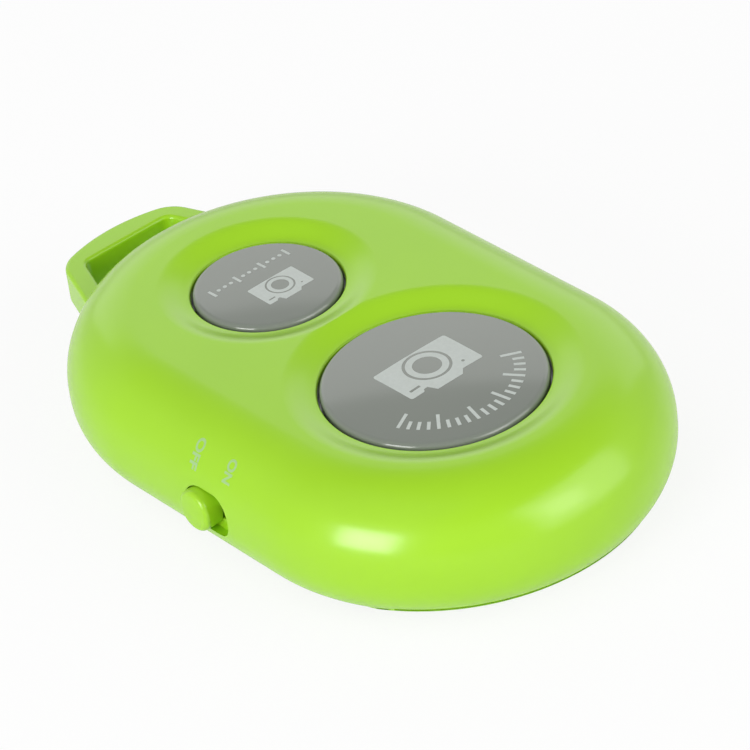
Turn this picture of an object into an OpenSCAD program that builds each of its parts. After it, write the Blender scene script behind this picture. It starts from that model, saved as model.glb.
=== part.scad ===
// Pocket remote for a camera shutter: a pill-shaped case with a large and a small push button,
// a slide switch in its side, a lanyard loop at one end and a battery door in its base.
// Millimetres. The origin is the middle of the base, +Z is up, +X runs towards the large button.

/* [Case] */
// Length of the case, without the loop
case_l = 47.4; // [46:0.2:56]
// Width of the case
case_w = 32; // [31:0.5:38]
// Height of the case
case_h = 10; // [9.9:0.1:12]
// Thickness of the case wall
wall = 1.5; // [1.3:0.05:1.6]
// Radius of the rounded shoulder round the top
shoulder_r = 5.2; // [4.6:0.1:5.4]
// Radius of the rounded edge round the base
belly_r = 4.4; // [3.8:0.1:4.6]
// Gap between case pieces that are fitted together
seam_gap = 0.1; // [0.05:0.01:0.15]

/* [Base] */
// From the side of the case to the edge of the base that closes it from below
base_inset = 3.8; // [3.5:0.05:4]
// Thickness of the base
base_t = 2; // [1.9:0.05:2.3]
// Height of the hook that holds the base at the door end
hook_h = 0.8; // [0.6:0.05:1]
// Width of that hook
hook_w = 6; // [4:0.5:8]
// Reach of that hook over the rim of the upper case
hook_reach = 0.45; // [0.3:0.05:0.5]

/* [Buttons] */
// Radius of the large button's cap
large_r = 7.7; // [7:0.1:8.2]
// Radius of the small button's cap
small_r = 5.2; // [4.6:0.1:5.6]
// Distance between the two buttons
button_pitch = 17.4; // [16.8:0.1:18.4]
// Gap round a cap in its hole
cap_gap = 0.25; // [0.2:0.01:0.35]
// Radius of a cap's rounded top edge
cap_edge_r = 0.3; // [0.2:0.05:0.4]
// Thickness of a cap's top
cap_t = 0.8; // [0.6:0.05:0.9]
// How far a cap's edge stands above the rim of its hole
cap_proud = 0.05; // [0:0.01:0.1]
// Radius of the sphere that domes the caps' tops
cap_dome_r = 90; // [85:5:140]
// How far the flange under the roof is wider than the cap
flange_lip = 0.9; // [0.7:0.05:1.1]
// Thickness of that flange
flange_t = 0.6; // [0.5:0.05:0.7]
// Depth of the dish round each button
dish_d = 0.65; // [0.4:0.05:0.7]
// Width of the dish round each button
dish_w = 2.4; // [2:0.1:2.8]
// Travel of a button when it is pressed
press = 0.3; // [0.2:0.02:0.3]

/* [Loop] */
// How far the lanyard loop stands out from the case
loop_reach = 4.7; // [4:0.1:6]
// Width of the loop at its tip
loop_tip_w = 9.6; // [9:0.2:11]
// How much the loop widens on each side along its reach
loop_flare = 1.7; // [1.2:0.1:2.2]
// How far the middle of the tip stands out past its corners
loop_bow = 0.5; // [0.2:0.1:0.8]
// Width of the loop's bar at the tip
loop_bar = 2.1; // [1.8:0.1:2.4]
// Width of the loop's two arms
loop_arm = 1.6; // [1.4:0.1:2]
// Thickness of the loop
loop_t = 2.8; // [2.4:0.1:3]
// Height of the loop's underside above the base
loop_z = 3.6; // [3.4:0.1:3.8]
// Radius of the loop's outer corners
loop_corner_r = 2.6; // [1.8:0.1:2.8]
// Radius of the loop's inner corners
loop_inner_r = 0.8; // [0.5:0.1:1.1]

/* [Slide switch] */
// Length of the recess in the side
recess_l = 4.5; // [4.3:0.1:4.8]
// Height of the recess
recess_h = 3.3; // [3.25:0.05:3.6]
// Depth of the recess
recess_d = 0.9; // [0.7:0.05:1]
// Corner radius of the recess
recess_r = 1.6; // [1.3:0.05:1.6]
// Place of the recess along the case
recess_x = 1.8; // [1.4:0.05:2]
// Length of the knob
knob_l = 2.9; // [2.7:0.1:3]
// Radius of the rounded edge round the knob's face
knob_edge_r = 0.35; // [0.2:0.05:0.5]
// How far the knob stands out of the side
knob_proud = 0.7; // [0.6:0.05:1]
// Gap round the knob
knob_gap = 0.1; // [0.08:0.01:0.12]
// Length of the slide switch's housing
slider_case_l = 5.4; // [5.3:0.05:5.5]
// Width of the slide switch's housing
slider_case_w = 1.7; // [1.6:0.05:1.75]
// Height of the slide switch's housing
slider_case_h = 1.4; // [1.3:0.05:1.5]

/* [Battery] */
// Diameter of the coin cell
cell_d = 20; // [19.6:0.1:20.2]
// Thickness of the coin cell
cell_t = 3.2; // [3:0.05:3.3]
// How far the coin cell sits back from the large button's axis
cell_back = 0.5; // [0.2:0.05:0.6]
// Gap round the coin cell
cell_gap = 0.15; // [0.1:0.01:0.2]
// Thickness of the bay's round wall
bay_wall = 0.85; // [0.7:0.05:0.9]
// Room for the contact between the cell and the board
contact_room = 0.8; // [0.7:0.05:0.9]
// Thickness of the contacts' sheet
contact_t = 0.2; // [0.15:0.01:0.25]

/* [Battery door] */
// Thickness of the door
door_t = 1.1; // [1:0.05:1.2]
// Height of the door's lip at the end of the case
lip_h = 1.3; // [1.2:0.05:1.4]
// How far the lip stands out of the case
lip_proud = 0.1; // [0.05:0.01:0.2]
// From the battery bay to the door's inner edge
door_margin = 0.45; // [0.35:0.05:0.65]
// Width of the tongue along each side of the door
tongue_w = 0.45; // [0.3:0.05:0.5]
// Thickness of that tongue
tongue_t = 0.5; // [0.4:0.02:0.5]
// Number of grip grooves in the door
grip_count = 5; // [3:1:6]
// Radius of a grip groove
grip_r = 0.35; // [0.2:0.05:0.45]
// Length of a grip groove
grip_l = 9; // [6:0.5:12]

/* [Circuit board] */
// Room between the circuit board's edge and the wall of the case
board_room = 2.45; // [2.35:0.05:2.6]
// Thickness of the circuit board
board_t = 0.8; // [0.7:0.05:0.9]
// Side of a push switch on the board
tact_w = 5.2; // [4.8:0.1:5.6]
// Height of a push switch's plastic body
tact_h = 0.7; // [0.65:0.01:0.75]
// Thickness of a push switch's metal cover
tact_cover_t = 0.3; // [0.25:0.01:0.3]
// Radius of a push switch's plunger
plunger_r = 1.2; // [1:0.05:1.4]
// How far the plunger stands out of the cover
plunger_up = 0.5; // [0.4:0.02:0.5]
// Side of the radio chip
chip_w = 4; // [3.5:0.1:4.5]
// Height of the radio chip
chip_h = 0.85; // [0.7:0.05:1]

/* [Screws] */
// Radius of a case screw's shank
screw_r = 0.75; // [0.65:0.05:0.85]
// Radius of a case screw's head
screw_head_r = 1.4; // [1.2:0.05:1.45]
// Height of a case screw's head
screw_head_h = 0.9; // [0.7:0.05:1]
// Wall round a screw in its post
post_wall = 0.9; // [0.8:0.05:1]

/* [Hidden] */
$fn = 96;
over = case_h / 20;             // overrun of cuts

case_r = case_w / 2;
arc_x = case_l / 2 - case_r;    // centres of the case's round ends
roof_z = case_h - wall;
base_w = case_w - 2 * base_inset;
base_r = base_w / 2;
board_w = case_w - 2 * (wall + board_room);
mouth_r = base_r + seam_gap;    // mouth of the upper case that the base sits in
hook_z = base_t - seam_gap;     // underside of the hook
rim_z = hook_z - seam_gap;      // rim of the mouth, inside the upper case

// Heights of what is stacked on the door
web_z = door_t + seam_gap;      // underside of the base above the door
cell_z = door_t + 2 * seam_gap;
cell_top = cell_z + cell_t;
board_z = cell_top + contact_room;
board_top = board_z + board_t;
tact_top = board_top + tact_h + tact_cover_t;
plunger_top = tact_top + plunger_up;

// Buttons
large_x = arc_x;                // the large button shares the centre of the round end
small_x = large_x - button_pitch;
dish_z = case_h - dish_d;
dish_steps = 16;
cap_top = dish_z + cap_proud;   // at the cap's edge
dome_sides = 1440;
flange_top = roof_z - seam_gap;
flange_z = flange_top - flange_t;
skirt_w = 0.9;                  // wall of a cap under its top
foot_r = plunger_r;             // foot of a button on its plunger

// Loop
loop_tip_x = -case_l / 2 - loop_reach;
loop_root_x = -case_l / 2 + case_r / 2;
flare_slope = loop_flare / loop_reach;
flare_slant = sqrt(1 + flare_slope * flare_slope);

// Slide switch: it hangs from the board, and the knob and its recess share its height
slider_z = board_z - slider_case_h / 2;
slider_over = 0.6;              // how far the switch stands out past the board
slider_edge_y = -board_w / 2 - slider_over;
travel = recess_l - knob_l - 2 * knob_gap;
knob_x = recess_x - travel / 2;
knob_h = recess_h - 2 * knob_gap;
neck_l = knob_l / 2;
neck_h = knob_h * 0.4;
knob_plate_t = 0.4;
fork_t = 0.5;
lever_l = 1;
lever_h = 0.6;
cover_t = 0.2;
slider_base_t = 0.4;
slider_l = slider_case_l - 2 * cover_t - travel - 4 * knob_gap;
knob_plate_y = slider_edge_y - fork_t - knob_plate_t;    // outer side of the knob's inner plate

// Battery bay and contacts
cell_x = large_x - cell_back;
bay_r = cell_d / 2 + cell_gap;
bay_top = board_z - 2 * seam_gap;
contact_w = 4.8;
contact_reach = 2.4;
spring_l = 11;
spring_flat = 1.6;

// Door
door_w = base_w;
door_x = cell_x - bay_r - door_margin;
door_end = case_l / 2 + lip_proud;
tongue_z = door_t - tongue_t - seam_gap;
grip_pitch = 1.5;

// Screws and the posts that they pass through
post_r = screw_r + post_wall;
boss_gap = 0.03;                // round the shank in the upper case
screw_play = 0.15;              // round the shank and the head in the base and the board
clear_r = screw_r + screw_play;
bore_r = screw_head_r + screw_play;
seat_t = 0.5;                   // base left over a screw's head
seat_z = base_t - seat_t;
tip_gap = 0.5;                  // from the screw's tip to the roof
screw_inset = 2;                // from the door's inner edge to the nearer screws
end_screw = [-arc_x - base_r * 0.72, base_r * 0.49];
mid_screw = [door_x - screw_inset, base_r - post_r];
screw_places = [
    [end_screw[0], end_screw[1]],
    [end_screw[0], -end_screw[1]],
    [mid_screw[0], mid_screw[1]],
    [mid_screw[0], -mid_screw[1]]
];

// Push switches
pocket_lip = 0.25;              // pocket's room round the plunger
pocket_r = plunger_r + pocket_lip;
pocket_d = press;
dome_t = 0.08;
guide_gap = 0.15;
leg_l = 0.7;
leg_w = 0.9;
leg_t = 0.15;

// Small parts on the board, placed from the push switches' spacing and the board's width
mid_x = (large_x + small_x) / 2;
chip_y = board_w * 0.27;
pin_w = 0.25;
pin_t = 0.2;
pin_count = 8;
memory_l = 3;
memory_w = 2.2;
memory_h = 0.75;
memory_pins = 4;
memory_y = -board_w * 0.26;
crystal_l = 3.2;
crystal_w = 2.5;
crystal_h = 0.7;
crystal_x = mid_x - chip_w - crystal_w / 2;
led_l = 1.6;
led_w = 0.8;
led_h = 0.6;
led_lens_h = 0.35;
part_l = 1;
part_w = 0.5;
part_h = 0.45;
part_pitch = 1.1;
part_count = 5;
end_cap = 0.22;
trace_w = 0.45;
trace_t = 0.08;
trace_turns = 4;
trace_l = 6;
trace_pitch = 1;
trace_inset = 1.6;              // from the small push switch to the first strip
trace_x = small_x - tact_w / 2 - trace_inset;

// Quarter of a disc beside the axis: above the centre with side 1, below it with side -1
module quarter(r, side) {
    intersection() {
        circle(r);
        translate([0, side > 0 ? 0 : -r]) square([r, r]);
    }
}

// Half of a rounded cross-section, from the middle plane outwards
module half_section(half_w, h, top_r, low_r) {
    square([half_w - low_r, low_r]);
    translate([half_w - low_r, low_r]) quarter(low_r, -1);
    translate([0, low_r]) square([half_w, h - low_r - top_r]);
    translate([0, h - top_r]) square([half_w - top_r, top_r]);
    translate([half_w - top_r, h - top_r]) quarter(top_r, 1);
}

// Carries a half section round a pill: two half turns and the straight part between them
module round_pill() {
    translate([arc_x, 0, 0]) rotate([0, 0, -90]) rotate_extrude(angle = 180) children();
    translate([-arc_x, 0, 0]) rotate([0, 0, 90]) rotate_extrude(angle = 180) children();
    rotate([90, 0, 90]) linear_extrude(2 * arc_x, center = true) {
        children();
        mirror([1, 0]) children();
    }
}

// Rectangle with round corners, about its centre
module rounded(l, w, r) {
    square([l - 2 * r, w], center = true);
    square([l, w - 2 * r], center = true);
    for (x = [-1, 1], y = [-1, 1]) {
        translate([x * (l / 2 - r), y * (w / 2 - r)]) circle(r);
    }
}

// Box from its lower corner and its upper corner
module block(low, high) {
    translate(low) cube(high - low);
}

// Points where straight sides touch circles of radius r about the centres, taken clockwise
function touch(c, r) = [
    for (i = [0 : len(c) - 1])
        let (
            before = c[(i + len(c) - 1) % len(c)],
            after = c[(i + 1) % len(c)],
            u = (c[i] - before) / norm(c[i] - before),
            v = (after - c[i]) / norm(after - c[i])
        )
        for (n = [[-u[1], u[0]], [-v[1], v[0]]]) c[i] + r * n
];

module soft_outline(c, r) {
    polygon(touch(c, r));
    for (p = c) translate(p) circle(r);
}

// Centre of a corner of radius r beside a flaring side, which has this half width at the loop's tip
function flare_corner(x, half_w, r) = [x, half_w + (x - loop_tip_x) * flare_slope - r * flare_slant];

function flip(p) = [p[0], -p[1]];

module loop_solid() {
    outer = flare_corner(loop_tip_x + loop_bow + loop_corner_r, loop_tip_w / 2, loop_corner_r);
    outer_root = flare_corner(loop_root_x, loop_tip_w / 2, loop_corner_r);
    inner_half_w = loop_tip_w / 2 - loop_arm * flare_slant;
    inner = flare_corner(loop_tip_x + loop_bar + loop_inner_r, inner_half_w, loop_inner_r);
    inner_root = flare_corner(loop_root_x, inner_half_w, loop_inner_r);
    tip = [loop_tip_x + loop_corner_r, 0];
    translate([0, 0, loop_z]) linear_extrude(loop_t) {
        difference() {
            soft_outline([flip(outer), tip, outer, outer_root, flip(outer_root)], loop_corner_r);
            soft_outline([flip(inner), inner, inner_root, flip(inner_root)], loop_inner_r);
        }
    }
}

// Slope of a dish, from the rim of its hole at radius r up to the top of the case
function dish_slope(r) = [
    for (i = [0 : dish_steps])
        [r + dish_w * i / dish_steps, dish_z + dish_d * (1 - cos(180 * i / dish_steps)) / 2]
];

// Hole for a cap with the dish round it
module cap_hole(cap_r) {
    hole_r = cap_r + cap_gap;
    rotate_extrude() polygon(concat(
        [[hole_r + dish_w, case_h + over], [0, case_h + over], [0, roof_z - over], [hole_r, roof_z - over]],
        dish_slope(hole_r)
    ));
}

// Shape along Y from the outside of the -Y wall inwards, drawn in X and Z
module through_side(y_from, y_to) {
    translate([0, y_to, 0]) rotate([90, 0, 0]) linear_extrude(y_to - y_from) children();
}

// Room inside the upper case, above a flat rim round the mouth
module case_room() {
    round_pill() {
        intersection() {
            translate([0, wall])
                half_section(case_r - wall, case_h - 2 * wall, shoulder_r - wall, belly_r - wall);
            translate([0, rim_z]) square([case_r, case_h]);
        }
        translate([0, -over]) square([mouth_r, rim_z + 2 * over]);
    }
}

module top_case() {
    color("yellowgreen") difference() {
        union() {
            difference() {
                union() {
                    round_pill() half_section(case_r, case_h, shoulder_r, belly_r);
                    loop_solid();
                }
                case_room();
            }
            for (p = screw_places) {
                translate([p[0], p[1], board_top])
                    cylinder(h = roof_z - board_top + wall / 2, r = post_r);
            }
        }
        translate([large_x, 0, 0]) cap_hole(large_r);
        translate([small_x, 0, 0]) cap_hole(small_r);
        // Recess and slot of the slide switch
        translate([recess_x, 0, slider_z]) {
            through_side(-case_r - over, -case_r + recess_d) rounded(recess_l, recess_h, recess_r);
            through_side(-case_r - over, -case_r + 2 * wall)
                square([neck_l + travel + 4 * knob_gap, neck_h + 2 * knob_gap], center = true);
        }
        // Way out for the door and its lip, and the grooves for its tongues
        block([arc_x, -door_w / 2 - seam_gap, -over],
            [door_end + over, door_w / 2 + seam_gap, lip_h + seam_gap]);
        block([door_x - seam_gap, -door_w / 2 - tongue_w - seam_gap, tongue_z - seam_gap],
            [door_end + over, door_w / 2 + tongue_w + seam_gap, tongue_z + tongue_t + seam_gap]);
        for (p = screw_places) {
            translate([p[0], p[1], board_top - over])
                cylinder(h = roof_z - board_top, r = screw_r + boss_gap);
        }
    }
}

// Hook at the door end: it stands on the base and reaches over the rim of the upper case
module base_hook() {
    intersection() {
        translate([arc_x, 0, 0]) rotate([0, 0, -90]) rotate_extrude(angle = 180)
            translate([base_r - bay_wall, hook_z])
                square([bay_wall + hook_reach, base_t + hook_h - hook_z]);
        block([arc_x, -hook_w / 2, 0], [case_l / 2, hook_w / 2, case_h]);
    }
}

module base_case() {
    color("yellowgreen") difference() {
        union() {
            round_pill() square([base_r, base_t]);
            translate([cell_x, 0, base_t - over])
                cylinder(h = bay_top - base_t + over, r = bay_r + bay_wall);
            for (p = screw_places) {
                translate([p[0], p[1], base_t - over])
                    cylinder(h = board_z - base_t + over, r = post_r);
            }
            base_hook();
        }
        translate([cell_x, 0, -over]) cylinder(h = board_z + over, r = bay_r);
        block([door_x - seam_gap, -base_r - over, -over], [case_l / 2, base_r + over, web_z]);
        // Window for the contact at the cell's side
        block([cell_x - bay_r - 2 * bay_wall, -contact_w / 2 - seam_gap, web_z],
            [cell_x - bay_r + bay_wall, contact_w / 2 + seam_gap, board_z]);
        for (p = screw_places) {
            translate([p[0], p[1], -over]) cylinder(h = board_z + 2 * over, r = clear_r);
            translate([p[0], p[1], -over]) cylinder(h = seat_z + over, r = bore_r);
        }
    }
}

module case_screw() {
    slot_w = screw_r / 2;
    difference() {
        union() {
            translate([0, 0, seat_z - screw_head_h]) cylinder(h = screw_head_h, r = screw_head_r);
            translate([0, 0, seat_z]) cylinder(h = roof_z - tip_gap - seat_z, r = screw_r);
        }
        for (a = [0, 90]) {
            rotate([0, 0, a]) translate([0, 0, seat_z - screw_head_h])
                cube([2 * screw_r, slot_w, screw_head_h], center = true);
        }
    }
}

module case_screws() {
    color("silver") for (p = screw_places) translate(p) case_screw();
}

module battery_door() {
    color("yellowgreen") difference() {
        intersection() {
            round_pill() half_section(case_r + lip_proud, case_h, shoulder_r, belly_r);
            union() {
                block([door_x, -door_w / 2, 0], [door_end, door_w / 2, lip_h]);
                block([door_x, -door_w / 2 - tongue_w, tongue_z],
                    [door_end, door_w / 2 + tongue_w, tongue_z + tongue_t]);
            }
        }
        // The lip rises only past the end of the base
        intersection() {
            round_pill() square([mouth_r, case_h]);
            block([door_x - over, -case_r, door_t], [door_end, case_r, case_h]);
        }
        for (i = [1 : grip_count]) {
            translate([door_end - belly_r - i * grip_pitch, 0, 0]) rotate([90, 0, 0])
                cylinder(h = grip_l, r = grip_r, center = true);
        }
    }
}

// Button: cap, flange under the roof, and a foot that stands on the push switch
module button(cap_r) {
    flange_r = cap_r + flange_lip;
    top_r = cap_r - cap_edge_r;
    dome_z = cap_top - sqrt(cap_dome_r * cap_dome_r - top_r * top_r);
    difference() {
        rotate_extrude() {
            translate([0, flange_z]) square([flange_r, flange_t]);
            translate([0, flange_z]) square([cap_r, cap_top - cap_edge_r - flange_z]);
            intersection() {
                translate([0, cap_top - cap_edge_r]) square([top_r, cap_r]);
                translate([0, dome_z]) circle(cap_dome_r, $fn = dome_sides);
            }
            translate([top_r, cap_top - cap_edge_r]) quarter(cap_edge_r, 1);
            translate([0, plunger_top]) square([foot_r, flange_z - plunger_top + over]);
        }
        rotate_extrude() {
            translate([foot_r + skirt_w, flange_z - over])
                square([cap_r - foot_r - 2 * skirt_w, cap_top - cap_t - flange_z + over]);
        }
    }
}

module large_button() {
    color("gray") translate([large_x, 0, 0]) button(large_r);
}

module small_button() {
    color("gray") translate([small_x, 0, 0]) button(small_r);
}

// Half of the section through the knob's head, from its middle out to the rounded edge of its face
module knob_section(depth) {
    edge_x = knob_l / 2 - knob_edge_r;
    square([knob_l / 2, depth - knob_edge_r]);
    translate([0, depth - knob_edge_r]) square([edge_x, knob_edge_r]);
    translate([edge_x, depth - knob_edge_r]) quarter(knob_edge_r, 1);
}

// Knob's head: upright with round ends, its back at y = 0 and its face towards -Y
module knob_head(depth) {
    end_z = (knob_h - knob_l) / 2;
    rotate([90, 0, 0]) {
        translate([0, end_z, 0]) rotate_extrude(angle = 180) knob_section(depth);
        translate([0, -end_z, 0]) rotate([0, 0, 180]) rotate_extrude(angle = 180) knob_section(depth);
        rotate([90, 0, 0]) linear_extrude(2 * end_z, center = true) {
            knob_section(depth);
            mirror([1, 0]) knob_section(depth);
        }
    }
}

// Knob: rounded head in the recess, neck through the wall, plate and fork behind it
module switch_knob() {
    back_y = -case_r + recess_d - knob_gap;
    color("yellowgreen") translate([knob_x, 0, slider_z]) {
        translate([0, back_y, 0]) knob_head(recess_d - knob_gap + knob_proud);
        block([-neck_l / 2, back_y - over, -neck_h / 2],
            [neck_l / 2, knob_plate_y + knob_plate_t / 2, neck_h / 2]);
        block([-knob_l / 2, knob_plate_y, -neck_h],
            [knob_l / 2, knob_plate_y + knob_plate_t, neck_h]);
        for (x = [-1, 1]) {
            translate([x * (lever_l + fork_t + 2 * knob_gap) / 2, knob_plate_y + knob_plate_t, 0])
                block([-fork_t / 2, -knob_plate_t / 2, -lever_h / 2],
                    [fork_t / 2, fork_t - knob_gap, lever_h / 2]);
        }
    }
}

module circuit_board() {
    color("seagreen") difference() {
        translate([0, 0, board_z]) round_pill() square([board_w / 2, board_t]);
        for (p = screw_places) {
            translate([p[0], p[1], board_z - over]) cylinder(h = board_t + 2 * over, r = clear_r);
        }
    }
}

// Coin cell: the wide can below, and the narrower lid on it
module coin_cell() {
    lid_r = cell_d / 2 * 0.88;
    lid_h = cell_t * 0.12;
    rim_r = cell_t * 0.09;
    color("gainsboro") translate([cell_x, 0, cell_z]) rotate_extrude() {
        half_section(cell_d / 2, cell_t - lid_h, rim_r, rim_r);
        translate([0, cell_t - lid_h]) square([lid_r, lid_h]);
    }
}

// Contact that stands beside the cell, with its foot under the board
module positive_contact() {
    leaf_x = cell_x - cell_d / 2 - seam_gap;
    color("gold") {
        block([leaf_x - contact_t, -contact_w / 2, base_t + seam_gap],
            [leaf_x, contact_w / 2, board_z]);
        block([leaf_x - contact_reach, -contact_w / 2, board_z - contact_t],
            [leaf_x, contact_w / 2, board_z]);
    }
}

// Bowed leaf: its two ends lie under the board and its middle rests on the cell's lid
module negative_contact() {
    end_x = spring_l / 2;
    flat_x = end_x - spring_flat;
    mid_half = spring_flat / 2;
    low = -contact_room;
    color("gold") translate([cell_x, 0, board_z]) rotate([90, 0, 0])
        linear_extrude(contact_w / 2, center = true) polygon([
            [-end_x, 0], [-flat_x, 0], [-mid_half, low + contact_t], [mid_half, low + contact_t],
            [flat_x, 0], [end_x, 0], [end_x, -contact_t], [flat_x - contact_t, -contact_t],
            [mid_half, low], [-mid_half, low], [contact_t - flat_x, -contact_t], [-end_x, -contact_t]
        ]);
}

// Push switch: moulded body with a pocket and four solder legs
module tact_base(x) {
    color("dimgray") translate([x, 0, board_top]) difference() {
        union() {
            block([-tact_w / 2, -tact_w / 2, 0], [tact_w / 2, tact_w / 2, tact_h]);
            for (sx = [-1, 1], sy = [-1, 1]) {
                translate([sx * tact_w / 2, sy * (tact_w / 2 - leg_w), leg_t / 2])
                    cube([2 * leg_l, leg_w, leg_t], center = true);
            }
        }
        translate([0, 0, tact_h - pocket_d]) cylinder(h = pocket_d + over, r = pocket_r);
    }
}

module tact_cover(x) {
    color("silver") translate([x, 0, board_top + tact_h]) difference() {
        linear_extrude(tact_cover_t) rounded(tact_w - leg_t, tact_w - leg_t, leg_w / 2);
        translate([0, 0, -over]) cylinder(h = tact_cover_t + 2 * over, r = plunger_r + guide_gap);
    }
}

module tact_dome(x) {
    color("silver") translate([x, 0, board_top + tact_h - pocket_d])
        cylinder(h = dome_t, r = pocket_r - seam_gap);
}

module tact_plunger(x) {
    foot_z = board_top + tact_h - pocket_d + press + seam_gap;
    color("black") translate([x, 0, foot_z]) cylinder(h = plunger_top - foot_z, r = plunger_r);
}

module tact_base_large() { tact_base(large_x); }
module tact_cover_large() { tact_cover(large_x); }
module tact_dome_large() { tact_dome(large_x); }
module tact_plunger_large() { tact_plunger(large_x); }
module tact_base_small() { tact_base(small_x); }
module tact_cover_small() { tact_cover(small_x); }
module tact_dome_small() { tact_dome(small_x); }
module tact_plunger_small() { tact_plunger(small_x); }

// Slide switch under the edge of the board: base, metal cover and slider
module slide_switch_base() {
    color("dimgray") block(
        [recess_x - slider_case_l / 2, slider_edge_y, board_z - slider_base_t],
        [recess_x + slider_case_l / 2, slider_edge_y + slider_case_w, board_z]);
}

module slide_switch_cover() {
    low = board_z - slider_case_h;
    high = board_z - slider_base_t;
    lever_way = travel + lever_l + 2 * knob_gap;
    color("silver") translate([recess_x, slider_edge_y, 0]) difference() {
        block([-slider_case_l / 2, 0, low], [slider_case_l / 2, slider_case_w, high]);
        block([-slider_case_l / 2 + cover_t, cover_t, low + cover_t],
            [slider_case_l / 2 - cover_t, slider_case_w - cover_t, high + over]);
        block([-lever_way / 2, -over, low + cover_t], [lever_way / 2, 2 * cover_t, high + over]);
    }
}

module slide_switch_slider() {
    low = board_z - slider_case_h + cover_t + knob_gap / 2;
    high = board_z - slider_base_t - knob_gap / 2;
    inner_y = slider_edge_y + slider_case_w - cover_t - knob_gap;
    outer_y = knob_plate_y + knob_plate_t + knob_gap;
    color("black") translate([knob_x, 0, 0]) {
        block([-slider_l / 2, slider_edge_y + cover_t + knob_gap, low], [slider_l / 2, inner_y, high]);
        block([-lever_l / 2, outer_y, low], [lever_l / 2, inner_y, high]);
    }
}

module radio_chip() {
    pin_pitch = chip_w / (pin_count + 1);
    translate([mid_x, chip_y, board_top]) {
        color("black") block([-chip_w / 2, -chip_w / 2, 0], [chip_w / 2, chip_w / 2, chip_h]);
        for (a = [0 : 90 : 270], i = [0 : pin_count - 1]) {
            rotate([0, 0, a]) translate([chip_w / 2, (i - (pin_count - 1) / 2) * pin_pitch, 0])
                color("silver") block([-pin_t, -pin_w / 2, 0], [pin_t, pin_w / 2, pin_t]);
        }
    }
}

module memory_chip() {
    pin_pitch = memory_l / memory_pins;
    translate([mid_x, memory_y, board_top]) {
        color("black")
            block([-memory_l / 2, -memory_w / 2, 0], [memory_l / 2, memory_w / 2, memory_h]);
        for (s = [-1, 1], i = [0 : memory_pins - 1]) {
            translate([(i - (memory_pins - 1) / 2) * pin_pitch, s * memory_w / 2, 0])
                color("silver") block([-pin_w / 2, -2 * pin_t, 0], [pin_w / 2, 2 * pin_t, pin_t]);
        }
    }
}

module crystal_can() {
    color("silver") translate([crystal_x, chip_y, board_top])
        linear_extrude(crystal_h) rounded(crystal_w, crystal_l, crystal_w / 6);
}

module status_led() {
    translate([mid_x, 0, board_top]) {
        color("white") block([-led_w / 2, -led_l / 2, 0], [led_w / 2, led_l / 2, led_lens_h]);
        color("white") translate([0, 0, led_lens_h / 2])
            cylinder(h = led_h - led_lens_h / 2, r = led_w * 0.4);
    }
}

// Small chip part: a body between two metal ends
module chip_part(body_colour) {
    color(body_colour)
        block([-part_l / 2 + end_cap, -part_w / 2, 0], [part_l / 2 - end_cap, part_w / 2, part_h]);
    for (s = [-1, 1]) {
        translate([s * (part_l - end_cap) / 2, 0, part_h / 2])
            color("silver") cube([end_cap, part_w, part_h], center = true);
    }
}

module capacitors() {
    for (i = [0 : part_count - 1]) {
        y = chip_y + (i - (part_count - 1) / 2) * part_pitch;
        translate([mid_x + chip_w, y, board_top]) chip_part("tan");
    }
}

// Two staggered rows beside the memory chip
module resistors() {
    for (i = [0 : part_count - 1]) {
        x = mid_x + memory_l + (i % 2) * 2 * part_l;
        y = memory_y + (i - (part_count - 1) / 2) * part_pitch;
        translate([x, y, board_top]) chip_part("black");
    }
}

// Folded strip of copper at the loop end of the board
module antenna_trace() {
    color("goldenrod") translate([trace_x, 0, board_top]) linear_extrude(trace_t) {
        for (i = [0 : trace_turns - 1]) {
            side = i % 2 == 0 ? 1 : -1;
            translate([-i * trace_pitch, 0]) square([trace_w, trace_l], center = true);
            translate([-(i + 0.5) * trace_pitch, side * (trace_l - trace_w) / 2])
                square([trace_pitch + trace_w, trace_w], center = true);
        }
    }
}

top_case();
base_case();
case_screws();
battery_door();
large_button();
small_button();
switch_knob();
circuit_board();
coin_cell();
positive_contact();
negative_contact();
tact_base_large();
tact_cover_large();
tact_dome_large();
tact_plunger_large();
tact_base_small();
tact_cover_small();
tact_dome_small();
tact_plunger_small();
slide_switch_base();
slide_switch_cover();
slide_switch_slider();
radio_chip();
memory_chip();
crystal_can();
status_led();
capacitors();
resistors();
antenna_trace();
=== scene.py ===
import bmesh
import bpy
import math
from mathutils import Matrix, Vector


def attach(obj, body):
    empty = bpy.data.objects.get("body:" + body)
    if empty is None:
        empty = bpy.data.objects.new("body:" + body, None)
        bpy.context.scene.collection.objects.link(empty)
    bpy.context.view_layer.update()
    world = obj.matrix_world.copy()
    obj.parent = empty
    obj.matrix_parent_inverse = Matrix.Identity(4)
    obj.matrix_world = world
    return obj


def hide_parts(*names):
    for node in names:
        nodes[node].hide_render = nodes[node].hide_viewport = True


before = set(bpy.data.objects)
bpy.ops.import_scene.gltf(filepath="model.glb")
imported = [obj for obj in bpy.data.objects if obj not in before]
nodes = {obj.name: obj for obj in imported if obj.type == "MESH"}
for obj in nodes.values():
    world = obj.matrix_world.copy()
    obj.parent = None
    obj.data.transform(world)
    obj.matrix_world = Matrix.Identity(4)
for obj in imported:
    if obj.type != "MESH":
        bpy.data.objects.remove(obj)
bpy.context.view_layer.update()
print("frame loaded:", len(nodes), "nodes")

# Everything is modelled in millimetres and brought down to metres when it is done
metre = 0.001
over = 1.0            # how far a cutting tool reaches past what it cuts
weldGap = 0.0005      # points closer than this are one point
speck = 0.1           # size of the plane that a drawn line starts from
smoothBelow = 32      # edges flatter than this many degrees are shaded smooth


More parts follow.
